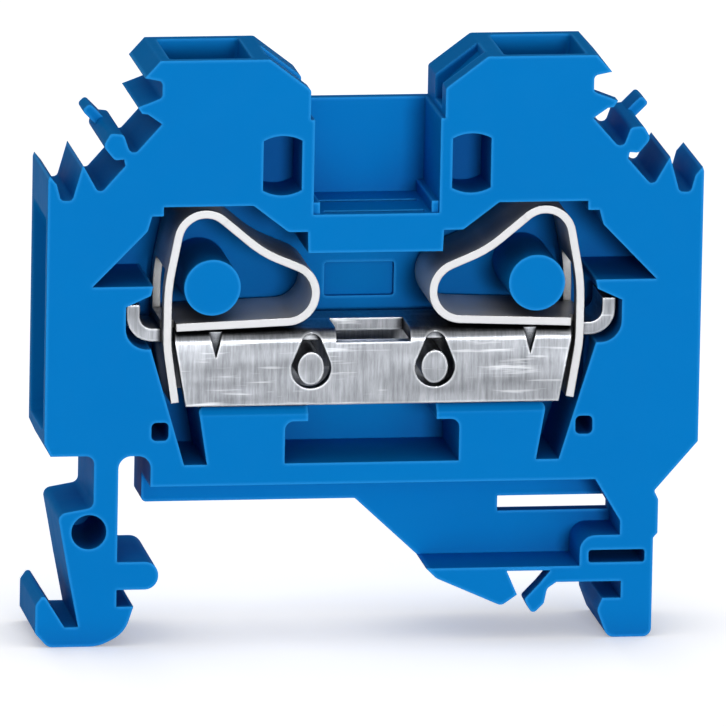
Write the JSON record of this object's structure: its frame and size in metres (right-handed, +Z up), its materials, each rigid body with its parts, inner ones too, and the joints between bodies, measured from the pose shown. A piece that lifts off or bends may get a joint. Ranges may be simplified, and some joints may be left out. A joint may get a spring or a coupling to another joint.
{
  "type": "feed-through terminal block",
  "caption": "Rail-mounted feed-through terminal block with an open-fronted moulded housing, a folded current bar and cage clamp springs that press down to open.",
  "frame": {"origin": "on the mounting rail's top face, at the middle of the rail's width and of the block's thickness", "axes": "+X along the block towards the fixed foot, +Y through its thickness from the open front to the closed back, +Z up, away from the rail"},
  "size_m": [0.0463, 0.008, 0.0414],
  "materials": {
    "blue_polyamide": "satin moulded blue polyamide",
    "tinned_copper": "bright tin plating over copper",
    "spring_steel": "rolled stainless spring steel"
  },
  "bodies": {
    "block": {"housing": "blue_polyamide", "current_bar": "tinned_copper"},
    "left_clamp": {"left_clamp_spring": "spring_steel"},
    "right_clamp": {"right_clamp_spring": "spring_steel"}
  },
  "joints": [
    {"name": "left_clamp_press", "type": "hinge", "parent": "block", "child": "left_clamp", "pos_m": [0.0016, 0, 0.017], "axis": [0, -1, 0], "range_deg": [0, 10], "stiffness_Nm_per_rad": 4, "deforming": ["left_clamp_spring"]},
    {"name": "right_clamp_press", "type": "hinge", "parent": "block", "child": "right_clamp", "pos_m": [-0.0016, 0, 0.017], "axis": [0, 1, 0], "range_deg": [0, 10], "stiffness_Nm_per_rad": 4, "deforming": ["right_clamp_spring"]}
  ]
}
